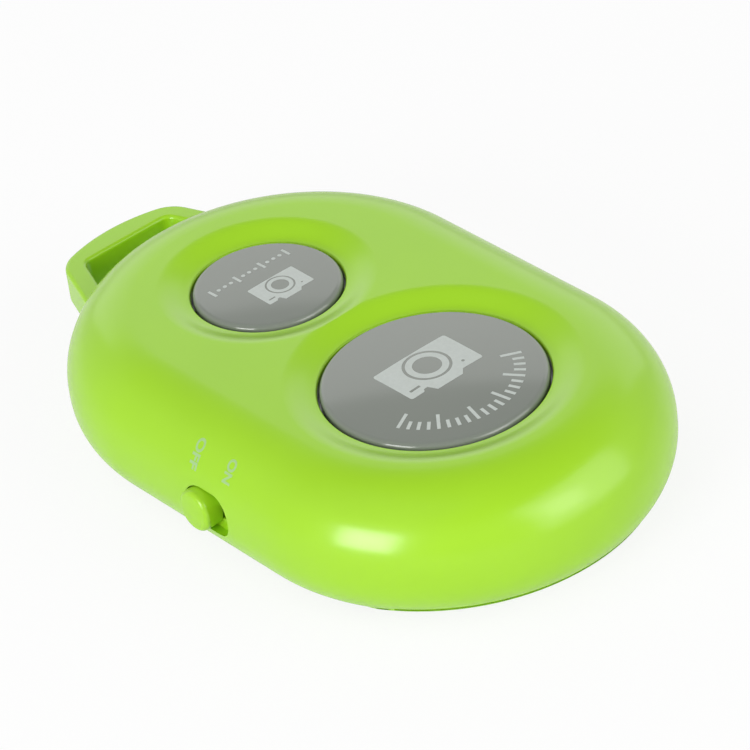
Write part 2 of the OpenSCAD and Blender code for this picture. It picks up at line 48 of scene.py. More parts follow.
# The camera stands where the photograph was taken from
view = {
    "place": (194.777, -146.211, 176.071),   # in mm
    "ahead": (-0.653137, 0.490284, -0.576978),
    "roll": -0.138,         # in radians
    "lens": 207.49,
    "sensor": 36,
    "shift": (0.00952, 0.0342),
    "clip": (0.01, 10),
}


def standCamera():
    eye = bpy.data.cameras.new("eye")
    eye.lens = view["lens"]
    eye.sensor_width = view["sensor"]
    eye.shift_x, eye.shift_y = view["shift"]
    eye.clip_start, eye.clip_end = view["clip"]
    holder = bpy.data.objects.new("eye", eye)
    bpy.context.scene.collection.objects.link(holder)
    ahead = Vector(view["ahead"]).normalized()
    right = ahead.cross(Vector((0, 0, 1))).normalized()
    up = right.cross(ahead)
    c, s = math.cos(view["roll"]), math.sin(view["roll"])
    rolledRight, rolledUp = right * c + up * s, up * c - right * s
    turn = Matrix((rolledRight, rolledUp, -ahead)).transposed().to_4x4()
    holder.matrix_world = Matrix.Translation(Vector(view["place"]) * metre) @ turn
    bpy.context.scene.camera = holder


standCamera()


# Workbench: small helpers round Blender's own tools
def pickNone():
    if bpy.context.object and bpy.context.object.mode != "OBJECT":
        bpy.ops.object.mode_set(mode="OBJECT")
    bpy.ops.object.select_all(action="DESELECT")


def pickOnly(piece):
    pickNone()
    piece.select_set(True)
    bpy.context.view_layer.objects.active = piece


def pickAll():
    bpy.ops.mesh.select_all(action="SELECT")


def pickRim(piece):
    # The open edges of a mesh
    bpy.ops.mesh.select_mode(type="EDGE")
    bpy.ops.mesh.select_all(action="DESELECT")
    mesh = bmesh.from_edit_mesh(piece.data)
    for edge in mesh.edges:
        if edge.is_boundary:
            edge.select_set(True)
    bmesh.update_edit_mesh(piece.data)


def openUp(piece):
    pickOnly(piece)
    bpy.ops.object.mode_set(mode="EDIT")
    pickAll()


def closeUp(piece):
    pickAll()
    bpy.ops.mesh.remove_doubles(threshold=weldGap)
    bpy.ops.mesh.normals_make_consistent(inside=False)
    bpy.ops.object.mode_set(mode="OBJECT")
    return piece


def settle(piece):
    # Puts a piece's place, turn and size into its mesh
    pickOnly(piece)
    bpy.ops.object.transform_apply(location=True, rotation=True, scale=True)


def applied(piece, kind, **settings):
    # A modifier that does its work at once
    pickOnly(piece)
    modifier = piece.modifiers.new(kind, kind)
    for key, value in settings.items():
        setattr(modifier, key, value)
    bpy.ops.object.modifier_apply(modifier=modifier.name)
    return piece


def traced(name, points):
    # One point, drawn on from corner to corner
    pickNone()
    bpy.ops.mesh.primitive_plane_add(size=speck, location=points[0])
    piece = bpy.context.object
    piece.name = name
    piece.data.name = name
    bpy.ops.object.transform_apply(location=True, rotation=False, scale=False)
    bpy.ops.object.mode_set(mode="EDIT")
    bpy.ops.mesh.select_mode(type="VERT")
    pickAll()
    bpy.ops.mesh.merge(type="CENTER")
    for before, after in zip(points, points[1:]):
        step = Vector(after) - Vector(before)
        bpy.ops.mesh.extrude_region_move(TRANSFORM_OT_translate={"value": step})
    return piece


def turned(name, profile, centre, steps):
    # A profile of (radius, height) points spun once round the upright axis
    piece = traced(name, [(r, 0, z) for r, z in profile])
    pickAll()
    bpy.ops.mesh.spin(steps=steps, angle=2 * math.pi, center=(0, 0, 0), axis=(0, 0, 1))
    pickAll()
    bpy.ops.transform.translate(value=(centre[0], centre[1], 0))
    return closeUp(piece)


def pillTurned(name, profile, half, steps):
    # A profile spun round one end of a pill, drawn out to the middle and mirrored
    piece = traced(name, [(0, -r, z) for r, z in profile])
    pickAll()
    bpy.ops.mesh.spin(steps=steps, angle=math.pi, center=(0, 0, 0), axis=(0, 0, -1))
    if max(v.co.x for v in bmesh.from_edit_mesh(piece.data).verts) < weldGap:
        pickAll()
        bpy.ops.transform.mirror(constraint_axis=(True, False, False))
    pickAll()
    bpy.ops.mesh.remove_doubles(threshold=weldGap)
    bpy.ops.transform.translate(value=(half, 0, 0))
    pickRim(piece)
    bpy.ops.mesh.extrude_region_move(TRANSFORM_OT_translate={"value": (-half, 0, 0)})
    applied(piece, "MIRROR", use_clip=True, merge_threshold=weldGap)
    openUp(piece)
    return closeUp(piece)


def raised(name, outline, push):
    # A closed flat outline filled and extruded
    piece = traced(name, outline)
    pickAll()
    bpy.ops.mesh.edge_face_add()
    pickAll()
    bpy.ops.mesh.extrude_region_move(TRANSFORM_OT_translate={"value": push})
    return closeUp(piece)


def box(name, low, high):
    pickNone()
    middle = [(a + b) / 2 for a, b in zip(low, high)]
    size = [b - a for a, b in zip(low, high)]
    bpy.ops.mesh.primitive_cube_add(size=1, location=middle, scale=size)
    piece = bpy.context.object
    piece.name = name
    bpy.ops.object.transform_apply(location=True, rotation=False, scale=True)
    return piece


def joined(piece, tool, how="DIFFERENCE"):
    applied(piece, "BOOLEAN", operation=how, solver="EXACT", object=tool)
    bpy.data.objects.remove(tool)
    return piece


def together(name, pieces):
    pickOnly(pieces[0])
    for piece in pieces:
        piece.select_set(True)
    bpy.ops.object.join()
    pieces[0].name = name
    return pieces[0]


def softened(piece, width, segments=2, angle=35):
    # Rounds every edge that is sharper than the angle
    return applied(piece, "BEVEL", width=width, segments=segments,
                   limit_method="ANGLE", angle_limit=math.radians(angle))


def smoothed(piece):
    pickOnly(piece)
    bpy.ops.object.shade_smooth_by_angle(angle=math.radians(smoothBelow))
    return applied(piece, "WEIGHTED_NORMAL", keep_sharp=True)


def placed(piece, body, finish, instead=()):
    # Down to metres, onto its body and into its finish
    piece.scale = (metre, metre, metre)
    settle(piece)
    piece.data.materials.clear()
    piece.data.materials.append(finish)
    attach(piece, body)
    if instead:
        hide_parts(*instead)
    return piece


def spread(low, high, count):
    return [low + (high - low) * i / count for i in range(count + 1)]


def arc(centre, radius, start, end, steps):
    angles = [math.radians(a) for a in spread(start, end, steps)]
    return [(centre[0] + radius * math.cos(a), centre[1] + radius * math.sin(a)) for a in angles]


def roundHull(centres, radius, steps=8):
    # The outline that a band would take round equal discs, given in turn order
    points = []
    for i, c in enumerate(centres):
        before = Vector(c) - Vector(centres[i - 1])
        after = Vector(centres[(i + 1) % len(centres)]) - Vector(c)
        start = math.degrees(math.atan2(before.x, -before.y))
        end = math.degrees(math.atan2(after.x, -after.y))
        while end > start:
            end -= 360
        points += arc(c, radius, start, end, steps)
    return points


# Shader maths written as sums
class Wire:
    def __init__(self, wiring, socket):
        self.wiring, self.socket = wiring, socket

    def sum(self, kind, a, b):
        return self.wiring.add("ShaderNodeMath", {"operation": kind}, {0: a, 1: b})

    def __add__(self, other):
        return self.sum("ADD", self, other)

    def __radd__(self, other):
        return self.sum("ADD", other, self)

    def __mul__(self, other):
        return self.sum("MULTIPLY", self, other)

    def __rmul__(self, other):
        return self.sum("MULTIPLY", other, self)


class Wiring:
    # The nodes of a finish or of the room
    def __init__(self, owner):
        owner.use_nodes = True
        self.tree = owner.node_tree

    def plug(self, socket, value):
        if isinstance(value, Wire):
            self.tree.links.new(value.socket, socket)
        else:
            socket.default_value = value

    def add(self, kind, settings, values, output=0):
        node = self.tree.nodes.new(kind)
        for key, value in settings.items():
            setattr(node, key, value)
        for key, value in values.items():
            self.plug(node.inputs[key], value)
        return Wire(self, node.outputs[output])

    def rays(self):
        # Whether a ray comes from the camera, from gloss or through something clear
        kinds = ("Is Camera Ray", "Is Glossy Ray", "Is Transmission Ray")
        return [self.add("ShaderNodeLightPath", {}, {}, kind) for kind in kinds]

    def mixed(self, share, low, high):
        return self.add("ShaderNodeMix", {}, {0: share, 2: low, 3: high})


class Finish(Wiring):
    def __init__(self, name):
        self.material = bpy.data.materials.new(name)
        super().__init__(self.material)
        self.shader = self.tree.nodes["Principled BSDF"]
        self.place = self.add("ShaderNodeTexCoord", {}, {}, "Object")

    def feed(self, **values):
        for key, value in values.items():
            self.plug(self.shader.inputs[key.replace("_", " ")], value)

    def stretched(self, scale):
        return self.add("ShaderNodeMapping", {}, {"Vector": self.place, "Scale": scale})

    def noise(self, scale, detail=2.0, roughness=0.5, where=None):
        return self.add("ShaderNodeTexNoise", {}, {
            "Vector": where or self.place, "Scale": scale, "Detail": detail, "Roughness": roughness})

    def between(self, share, low, high):
        return self.add("ShaderNodeMix", {"data_type": "RGBA"}, {0: share, 6: low, 7: high}, 2)

    def bump(self, height, distance, strength):
        return self.add("ShaderNodeBump", {}, {
            "Height": height, "Distance": distance, "Strength": strength})


def shade(colour, factor=1.0):
    return tuple(min(1.0, c * factor) for c in colour[:3]) + (1.0,)


# Moulded plastic: a faint cloudiness in the colour, a polish that varies, and a skin
mouldings = {
    "caseGreen": {"colour": (0.317, 0.61, 0.013), "rough": 0.22, "cloud": 0.05,
                  "skin": 700, "depth": 2.0e-6, "bend": 1.53},
    "knobGreen": {"colour": (0.317, 0.61, 0.013), "rough": 0.22, "cloud": 0.05,
                  "skin": 900, "depth": 2.0e-6, "bend": 1.53},
    "baseGreen": {"colour": (0.317, 0.61, 0.013), "rough": 0.3, "cloud": 0.06,
                  "skin": 5000, "depth": 2.5e-6, "bend": 1.5},
    "capGrey": {"colour": (0.196, 0.215, 0.188), "rough": 0.1, "cloud": 0.05,
                "skin": 6000, "depth": 1.6e-6, "bend": 1.62},
    "mouldedDark": {"colour": (0.045, 0.045, 0.05), "rough": 0.45, "cloud": 0.12,
                    "skin": 7000, "depth": 3.0e-6, "bend": 1.46},
    "mouldedBlack": {"colour": (0.018, 0.018, 0.019), "rough": 0.38, "cloud": 0.12,
                     "skin": 7000, "depth": 2.0e-6, "bend": 1.46},
    "chipBlack": {"colour": (0.014, 0.014, 0.016), "rough": 0.5, "cloud": 0.2,
                  "skin": 9000, "depth": 3.0e-6, "bend": 1.46},
    "ledWhite": {"colour": (0.8, 0.8, 0.74), "rough": 0.2, "cloud": 0.04,
                 "skin": 3000, "depth": 1.0e-6, "bend": 1.46},
    "ceramicTan": {"colour": (0.43, 0.3, 0.19), "rough": 0.42, "cloud": 0.15,
                   "skin": 8000, "depth": 2.0e-6, "bend": 1.46},
}
mouldSkin = {
    "clouds": 90,           # scale of the cloudiness, and of the patches of polish
    "patches": 260,
    "polish": (0.9, 0.2),   # least share of the roughness, and what a patch adds
    "bump": 0.6,
}


def moulded(name):
    values = mouldings[name]
    least, more = mouldSkin["polish"]
    finish = Finish(name)
    cloud = finish.noise(mouldSkin["clouds"], detail=3)
    grain = finish.noise(values["skin"], detail=3, roughness=0.6)
    patch = finish.noise(mouldSkin["patches"], detail=4, roughness=0.6)
    dark = shade(values["colour"], 1 - values["cloud"])
    light = shade(values["colour"], 1 + values["cloud"])
    finish.feed(Base_Color=finish.between(cloud, dark, light),
                Roughness=values["rough"] * (least + more * patch),
                IOR=values["bend"],
                Normal=finish.bump(grain, values["depth"], mouldSkin["bump"]))
    return finish.material


# Metal: long fine scratches one way, and a dull bloom in patches
metals = {
    "screwSteel": {"colour": (0.6, 0.6, 0.61), "rough": 0.32, "along": (4000, 4000, 400), "depth": 1.5e-6},
    "cellSteel": {"colour": (0.66, 0.66, 0.65), "rough": 0.26, "along": (300, 9000, 300), "depth": 1.2e-6},
    "contactPlate": {"colour": (0.72, 0.6, 0.36), "rough": 0.28, "along": (8000, 500, 500), "depth": 1.0e-6},
    "tinnedCover": {"colour": (0.62, 0.62, 0.61), "rough": 0.34, "along": (7000, 700, 700), "depth": 1.2e-6},
    "domeSteel": {"colour": (0.66, 0.66, 0.67), "rough": 0.22, "along": (2500, 2500, 2500), "depth": 0.8e-6},
    "traceGold": {"colour": (0.78, 0.56, 0.22), "rough": 0.3, "along": (3000, 3000, 3000), "depth": 1.0e-6},
}
metalSkin = {
    "blooms": 350,
    "dark": 0.88,               # the colour's share away from a bloom, and under it
    "light": 1.06,
    "polish": (0.75, 0.3, 0.2),  # least share of the roughness, and what bloom and scratches add
    "bump": 0.7,
}


def metal(name):
    values = metals[name]
    least, bloomed, scratched = metalSkin["polish"]
    finish = Finish(name)
    scratch = finish.noise(1, where=finish.stretched(values["along"]))
    bloom = finish.noise(metalSkin["blooms"], detail=3)
    dark = shade(values["colour"], metalSkin["dark"])
    light = shade(values["colour"], metalSkin["light"])
    finish.feed(Base_Color=finish.between(bloom, dark, light),
                Roughness=values["rough"] * (least + bloomed * bloom + scratched * scratch),
                Metallic=1.0,
                Normal=finish.bump(scratch, values["depth"], metalSkin["bump"]))
    return finish.material


# Solder mask over copper: hatched tracks lie a little higher and paler under the lacquer
boardSkin = {
    "mask": (0.012, 0.11, 0.045),
    "track": (0.03, 0.2, 0.075),
    "pitch": 900,
    "field": (1.6, 0.7),        # length and width of the fields between the tracks
    "trackWidth": 0.09,
    "trackBlur": 0.3,
    "weave": 2600,
    "weaveShare": 0.3,          # height of the glass weave beside the tracks
    "rough": (0.26, 0.12),      # least, and what the weave adds
    "bend": 1.5,
    "depth": 6.0e-6,
    "bump": 0.5,
}


def solderMask():
    values = boardSkin
    long, wide = values["field"]
    least, more = values["rough"]
    finish = Finish("boardGreen")
    tracks = finish.add("ShaderNodeTexBrick", {}, {
        "Vector": finish.place, "Scale": values["pitch"], "Brick Width": long, "Row Height": wide,
        "Mortar Size": values["trackWidth"], "Mortar Smooth": values["trackBlur"]}, "Fac")
    weave = finish.noise(values["weave"])
    finish.feed(Base_Color=finish.between(tracks, shade(values["mask"]), shade(values["track"])),
                Roughness=least + more * weave,
                IOR=values["bend"],
                Normal=finish.bump(tracks + values["weaveShare"] * weave, values["depth"], values["bump"]))
    return finish.material


# Screen-printed ink: a thin matt layer with pinholes of uneven cover
inks = {
    "inkPale": {"colour": (0.56, 0.6, 0.57), "thin": (0.45, 0.49, 0.46), "rough": 0.42},
    "inkFaint": {"colour": (0.34, 0.52, 0.27), "thin": (0.31, 0.53, 0.17), "rough": 0.4},
}
inkSkin = {
    "pinholes": 3800,
    "rougher": 0.12,            # what full cover adds to the roughness
    "bend": 1.45,
    "depth": 2.0e-6,
    "bump": 0.5,
}


def inked(name):
    values = inks[name]
    finish = Finish(name)
    cover = finish.noise(inkSkin["pinholes"], detail=3, roughness=0.6)
    finish.feed(Base_Color=finish.between(cover, shade(values["thin"]), shade(values["colour"])),
                Roughness=values["rough"] + inkSkin["rougher"] * cover,
                IOR=inkSkin["bend"],
                Normal=finish.bump(cover, inkSkin["depth"], inkSkin["bump"]))
    return finish.material


caseGreen = moulded("caseGreen")
knobGreen = moulded("knobGreen")
baseGreen = moulded("baseGreen")
capGrey = moulded("capGrey")
screwSteel = metal("screwSteel")
inkPale = inked("inkPale")
inkFaint = inked("inkFaint")
print("finishes mixed")


# Upper case, in mm
shell = {
    "halfLength": 7.7,      # from the middle to the centre of a round end
    "halfWidth": 16.0,
    "height": 10.0,
    "shoulder": 5.2,
    "belly": 4.4,
    "wall": 1.5,
    "mouth": 12.3,          # half width of the opening for the base
    "rim": 1.8,             # height of the flat rim round that opening
    "edge": 0.08,           # softened edge of that opening
    "outerSteps": (28, 22),  # faces down the shoulder and the belly
    "innerSteps": (10, 14),  # and back up inside, up the belly and the shoulder
    "endSteps": 96,         # faces round an end
}

# Posts that the case screws go into
posts = {
    "places": ((-16.484, 5.978), (-16.484, -5.978), (-5.4, 10.55), (-5.4, -10.55)),
    "radius": 1.65, "bore": 0.78,
    "low": 6.1, "boreTop": 8.0, "top": 8.8,
    "steps": 48,
}

# Dished rims round the buttons, with a hole for each cap
wells = {
    "large": {"x": 7.7, "hole": 7.97},
    "small": {"x": -9.7, "hole": 5.47},
    "rim": 9.35,            # height of the hole's edge
    "slope": 2.4,           # width of the dish round the hole
    "lip": 0.2,             # rounding of the hole's edge
    "bottom": 7.5,
    "slopeSteps": 22,
    "lipSteps": 5,
    "steps": 160,
}

# Lanyard loop: two arms that come together towards a bar at the tip
loop = {
    "tip": -28.4,
    "tipHalf": 4.8,         # half width at the tip, if its corners were sharp
    "flare": 1.7 / 4.7,     # how far an arm's side goes out for each mm along it
    "bow": 0.5,             # how far the tip's middle stands past its corners
    "bar": 2.1,
    "arm": 1.6,
    "outer": 2.6,           # radius of the corners outside, and in the hole
    "inner": 0.8,
    "root": -21.7,          # the loop ends here, in the case's wall
    "drawn": -15.7,         # and is drawn as far as here, before it is cut off
    "low": 3.6,
    "high": 6.4,
    "edge": 0.3,
    "edgeSteps": 5,
    "edgeAngle": 50,
    "cornerSteps": 12,
    "bowSteps": 24,
}

# Recess for the slide knob, and the slot that its neck goes through
recess = {
    "x": 1.8, "z": 4.6,
    "long": 4.5, "tall": 3.3, "deep": 0.9,
    "corner": 1.6,
    "cornerSteps": 14,
    "slot": (3.25, 1.44),   # how long and how tall it is
}

# Way out for the battery door at the end, with a groove for each of its tongues
doorWay = {
    "from": -3.5,           # where the grooves start
    "halfWidth": 12.3, "height": 1.4,
    "grooveHalf": 12.75, "grooveLow": 0.4, "grooveHigh": 1.1,
}


def shellProfile():
    top, side, edge = shell["height"], shell["halfWidth"], shell["edge"]
    shoulder, belly, wall = shell["shoulder"], shell["belly"], shell["wall"]
    upperMiddle, lowerMiddle = (side - shoulder, top - shoulder), (side - belly, belly)
    mouthDrop = math.degrees(math.acos((shell["mouth"] + edge - side + belly) / belly))
    rimDrop = math.degrees(math.asin((belly - shell["rim"]) / (belly - wall)))
    points = [(0, top)]
    points += arc(upperMiddle, shoulder, 90, 0, shell["outerSteps"][0])
    points += arc(lowerMiddle, belly, 0, -mouthDrop, shell["outerSteps"][1])
    points += [(shell["mouth"], points[-1][1] + edge), (shell["mouth"], shell["rim"])]
    points += arc(lowerMiddle, belly - wall, -rimDrop, 0, shell["innerSteps"][0])
    points += arc(upperMiddle, shoulder - wall, 0, 90, shell["innerSteps"][1])
    points += [(0, top - wall)]
    return points


def wellTool(name, well):
    hole, rim, slope, lip = well["hole"], wells["rim"], wells["slope"], wells["lip"]
    top = shell["height"]
    points = [(0, top + over), (hole + slope, top + over)]
    for share in reversed(spread(0, 1, wells["slopeSteps"])[1:]):
        points.append((hole + slope * share, rim + (top - rim) * (1 - math.cos(math.pi * share)) / 2))
    points += arc((hole + lip, rim - lip), lip, 90, 180, wells["lipSteps"])
    points += [(hole, wells["bottom"]), (0, wells["bottom"])]
    return turned(name, points, (well["x"], 0), wells["steps"])


def loopSolid():
    tip, r, steps = loop["tip"], loop["outer"], loop["cornerSteps"]
    slant = math.sqrt(1 + loop["flare"] ** 2)

    def corner(x, half, radius):
        # Middle of a round corner that touches an arm's side
        return (x, half + (x - tip) * loop["flare"] - radius * slant)

    def flip(p):
        return (p[0], -p[1])

    outer = corner(tip + loop["bow"] + r, loop["tipHalf"], r)
    outerRoot = corner(loop["drawn"], loop["tipHalf"], r)
    innerHalf = loop["tipHalf"] - loop["arm"] * slant
    inner = corner(tip + loop["bar"] + loop["inner"], innerHalf, loop["inner"])
    innerRoot = corner(loop["drawn"], innerHalf, loop["inner"])
    # The tip's bow is one arc that runs smoothly into both corners
    reach = outer[0] - tip
    bow = (reach ** 2 + outer[1] ** 2 - r ** 2) / (2 * (reach - r))
    lean = math.degrees(math.atan2(outer[1], tip + bow - outer[0]))
    side = 90 + math.degrees(math.atan(loop["flare"]))
    upper = arc(outer, r, 180 - lean, side, steps) + arc(outerRoot, r, side, 0, steps)
    front = arc((tip + bow, 0), bow, 180 + lean, 180 - lean, loop["bowSteps"])[1:-1]
    around = [flip(p) for p in reversed(upper)] + front + upper
    inside = roundHull([flip(inner), inner, innerRoot, flip(innerRoot)], loop["inner"])
    tall = loop["high"] - loop["low"]
    body = raised("loop", [(x, y, loop["low"]) for x, y in around], (0, 0, tall))
    hole = raised("hole", [(x, y, loop["low"] - over) for x, y in inside], (0, 0, tall + 2 * over))
    joined(body, hole)
    softened(body, loop["edge"], loop["edgeSteps"], loop["edgeAngle"])
    return joined(body, box("rest", (loop["root"], -shell["halfWidth"], 0),
                            (0, shell["halfWidth"], shell["height"])))


def recessOutline(y):
    # A rectangle with round corners, standing in the case's long side
    corner = recess["corner"]
    a, b = recess["long"] / 2 - corner, recess["tall"] / 2 - corner
    points = []
    for sx, sz, start in ((1, 1, 0), (-1, 1, 90), (-1, -1, 180), (1, -1, 270)):
        middle = (recess["x"] + sx * a, recess["z"] + sz * b)
        points += arc(middle, corner, start, start + 90, recess["cornerSteps"])
    return [(x, y, z) for x, z in points]


def postSolids():
    r, bore = posts["radius"], posts["bore"]
    low, boreTop, top = posts["low"], posts["boreTop"], posts["top"]
    profile = [(0, top), (r, top), (r, low), (bore, low), (bore, boreTop), (0, boreTop)]
    return together("posts", [turned("post", profile, place, posts["steps"]) for place in posts["places"]])


def makeUpperCase():
    side = -shell["halfWidth"]
    end = shell["halfLength"] + shell["halfWidth"] + over
    piece = pillTurned("upperCase", shellProfile(), shell["halfLength"], shell["endSteps"])
    joined(piece, postSolids(), "UNION")
    joined(piece, wellTool("largeWell", wells["large"]))
    joined(piece, wellTool("smallWell", wells["small"]))
    joined(piece, raised("pocket", recessOutline(side - over), (0, over + recess["deep"], 0)))
    long, tall = recess["slot"]
    joined(piece, box("slot", (recess["x"] - long / 2, side - over, recess["z"] - tall / 2),
                      (recess["x"] + long / 2, side + 2 * shell["wall"], recess["z"] + tall / 2)))
    joined(piece, box("wayOut", (shell["halfLength"], -doorWay["halfWidth"], -over),
                      (end, doorWay["halfWidth"], doorWay["height"])))
    joined(piece, box("grooves", (doorWay["from"], -doorWay["grooveHalf"], doorWay["grooveLow"]),
                      (end, doorWay["grooveHalf"], doorWay["grooveHigh"])))
    joined(piece, loopSolid(), "UNION")
    smoothed(piece)
    return placed(piece, "case", caseGreen, ["top_case"])


makeUpperCase()
print("upper case made")


# Button caps, in mm
caps = {
    "large": {"x": 7.7, "radius": 7.8},
    "small": {"x": -9.7, "radius": 5.3},
    "top": 9.6,             # at the edge of the dome
    "dome": 90.0,           # radius of the sphere that domes the top
    "edge": 0.38,
    "flange": 0.9,          # width of the rim that holds the cap in
    "flangeLow": 7.8,
    "flangeTop": 8.4,
    "roof": 8.75,           # underside of the cap's top
    "foot": 1.2,            # radius of the boss where it stands on the plunger
    "footLow": 7.6,
    "skirt": 0.9,           # thickness of the side, and of the boss round its foot
    "domeSteps": 10,
    "edgeSteps": 8,
    "steps": 144,
}


def domeHeight(cap, away):
    # Height of a cap's top at this distance from its middle
    rim = cap["radius"] - caps["edge"]
    return caps["top"] + math.sqrt(caps["dome"] ** 2 - away ** 2) - math.sqrt(caps["dome"] ** 2 - rim ** 2)


def makeCap(name, cap, body, node):
    r, top, edge, foot = cap["radius"], caps["top"], caps["edge"], caps["foot"]
    outside, inside, bossSide = r + caps["flange"], r - caps["skirt"], foot + caps["skirt"]
    low, roof = caps["flangeLow"], caps["roof"]
    points = [(away, domeHeight(cap, away)) for away in spread(0, r - edge, caps["domeSteps"])]
    points += arc((r - edge, top - edge), edge, 90, 0, caps["edgeSteps"])[1:]
    points += [(r, caps["flangeTop"]), (outside, caps["flangeTop"]), (outside, low), (inside, low)]
    points += [(inside, roof), (bossSide, roof), (bossSide, low), (foot, low)]
    points += [(foot, caps["footLow"]), (0, caps["footLow"])]
    piece = turned(name, points, (cap["x"], 0), caps["steps"])
    smoothed(piece)
    return placed(piece, body, capGrey, [node])


makeCap("largeCap", caps["large"], "large_button_press", "large_button")
makeCap("smallCap", caps["small"], "small_button_press", "small_button")
print("caps made")


# Prints on the caps, in mm: x runs up the picture and y to its left
ink = {
    "thick": 0.015,         # how far the ink stands out, and how deep it starts
    "sunk": 0.05,
    "low": 9.0,             # the flat shapes that are laid on the dome reach from here to here
    "high": 11.0,
    "skinSteps": 20,
    "roundSteps": 64,
    "cornerSteps": 4,
}

pictogram = {
    "low": -0.22, "high": 2.28, "left": 2.4, "right": -1.65,
    "corner": 0.12,
    "button": -0.88,                      # end of the raised part over the shutter button
    "notch": (2.12, -0.76, -0.64),        # height, start and end
    "hump": (2.58, -0.44, 0.96, 1.24),    # height, start and end of its top, and its foot
    "lens": (0.95, 0.4),
    "rings": (0.64, 0.94, 1.08),          # the lens ring's inside and outside, and the gap's
    "window": (1.76, 1.9, -1.36, -0.8),   # low, high and both sides
    "lamp": (1.86, 1.62, 0.08),           # place and radius
}

prints = {
    "large": {"scale": 1.6, "shift": (-2.5, -0.35)},
    "small": {"scale": 1.0, "shift": (0, 0)},
    "row": {"x": -1.95, "pitch": 0.56, "tall": 0.9, "wide": 0.2, "dot": 0.15, "count": 13, "every": 4},
    "dial": {"radius": 6.2, "long": 1.5, "short": 0.8, "wide": 0.24, "step": 6.5, "count": 21, "every": 4},
}


def capSkin(name, cap):
    # A thin piece of the dome's sphere: a bowed band along x, swung about the sphere's middle
    rim = cap["radius"] - caps["edge"]
    middle = domeHeight(cap, 0) - caps["dome"]
    lean = math.degrees(math.asin(rim / caps["dome"]))
    steps = ink["skinSteps"]
    band = arc((cap["x"], middle), caps["dome"] + ink["thick"], 90 + lean, 90 - lean, steps)
    band += arc((cap["x"], middle), caps["dome"] - ink["sunk"], 90 - lean, 90 + lean, steps)
    band += band[:1]
    piece = traced(name, [(x, 0, z) for x, z in band])
    pickAll()
    bpy.ops.mesh.remove_doubles(threshold=weldGap)
    pickAll()
    bpy.ops.transform.rotate(value=math.radians(lean), orient_axis="X", center_override=(0, 0, middle))
    pickAll()
    bpy.ops.mesh.spin(steps=steps, angle=math.radians(2 * lean), center=(0, 0, middle), axis=(-1, 0, 0))
    pickAll()
    bpy.ops.mesh.fill_holes(sides=0)
    return closeUp(piece)


def disc(name, place, radius, reach=0.0):
    top, low = ink["high"] + reach, ink["low"] - reach
    profile = [(0, top), (radius, top), (radius, low), (0, low)]
    return turned(name, profile, place, ink["roundSteps"])


def tube(name, place, inner, outer):
    top, low = ink["high"], ink["low"]
    profile = [(outer, top), (outer, low), (inner, low), (inner, top), (outer, top)]
    return turned(name, profile, place, ink["roundSteps"])


def pictureShape(cap, scale, shift):
    g, steps = pictogram, ink["cornerSteps"]
    c, low, high, left, right = g["corner"], g["low"], g["high"], g["left"], g["right"]
    notchLow, notchFrom, notchTo = g["notch"]
    top, humpFrom, humpTo, humpEnd = g["hump"]

    def put(x, y):
        return (cap["x"] + shift[0] + scale * x, shift[1] + scale * y)

    outline = arc((low + c, right + c), c, 180, 270, steps) + arc((high - c, right + c), c, 270, 360, steps)
    outline += arc((high - c, g["button"] - c), c, 0, 90, steps)
    outline += [(notchLow, notchFrom), (notchLow, notchTo), (top, humpFrom), (top, humpTo), (high, humpEnd)]
    outline += arc((high - c, left - c), c, 0, 90, steps) + arc((low + c, left - c), c, 90, 180, steps)
    flat = [put(x, y) + (ink["low"],) for x, y in outline]
    body = raised("camera", flat, (0, 0, ink["high"] - ink["low"]))
    centre = put(*g["lens"])
    inner, outer, groove = (scale * r for r in g["rings"])
    joined(body, disc("groove", centre, groove, over))
    x1, x2, y1, y2 = g["window"]
    joined(body, box("window", put(x1, y1) + (ink["low"] - over,), put(x2, y2) + (ink["high"] + over,)))
    x, y, r = g["lamp"]
    joined(body, disc("lamp", put(x, y), scale * r, over))
    return together("camera", [body, tube("ring", centre, inner, outer)])


def tick(x, y, long, wide, turn=0):
    # A bar that stands along x, turned about the middle of the large cap
    piece = box("tick", (x - long / 2, y - wide / 2, ink["low"]), (x + long / 2, y + wide / 2, ink["high"]))
    if turn:
        middle = (caps["large"]["x"], 0, 0)
        openUp(piece)
        bpy.ops.transform.rotate(value=math.radians(turn), orient_axis="Z", center_override=middle)
        bpy.ops.object.mode_set(mode="OBJECT")
    return piece


def rowMarks(cap, row):
    marks = []
    for i in range(row["count"]):
        x, y = cap["x"] + row["x"], (i - (row["count"] - 1) / 2) * row["pitch"]
        if i % row["every"] == 0:
            marks.append(tick(x, y, row["tall"], row["wide"]))
        else:
            marks.append(disc("dot", (x, y), row["dot"]))
    return together("rowMarks", marks)


def dialMarks(cap, dial):
    marks = []
    for i in range(dial["count"]):
        turn = (i - (dial["count"] - 1) / 2) * dial["step"]
        long = dial["long"] if i % dial["every"] == 0 else dial["short"]
        marks.append(tick(cap["x"] + dial["radius"] - long / 2, 0, long, dial["wide"], turn))
    return together("dialMarks", marks)


def makePrints():
    large, small = caps["large"], caps["small"]
    jobs = (
        ("largePicture", large, pictureShape(large, **prints["large"]), "large_button_press"),
        ("largeDial", large, dialMarks(large, prints["dial"]), "large_button_press"),
        ("smallPicture", small, pictureShape(small, **prints["small"]), "small_button_press"),
        ("smallRow", small, rowMarks(small, prints["row"]), "small_button_press"),
    )
    for name, cap, shape, body in jobs:
        placed(joined(capSkin(name, cap), shape, "INTERSECT"), body, inkPale)


makePrints()
print("prints laid")


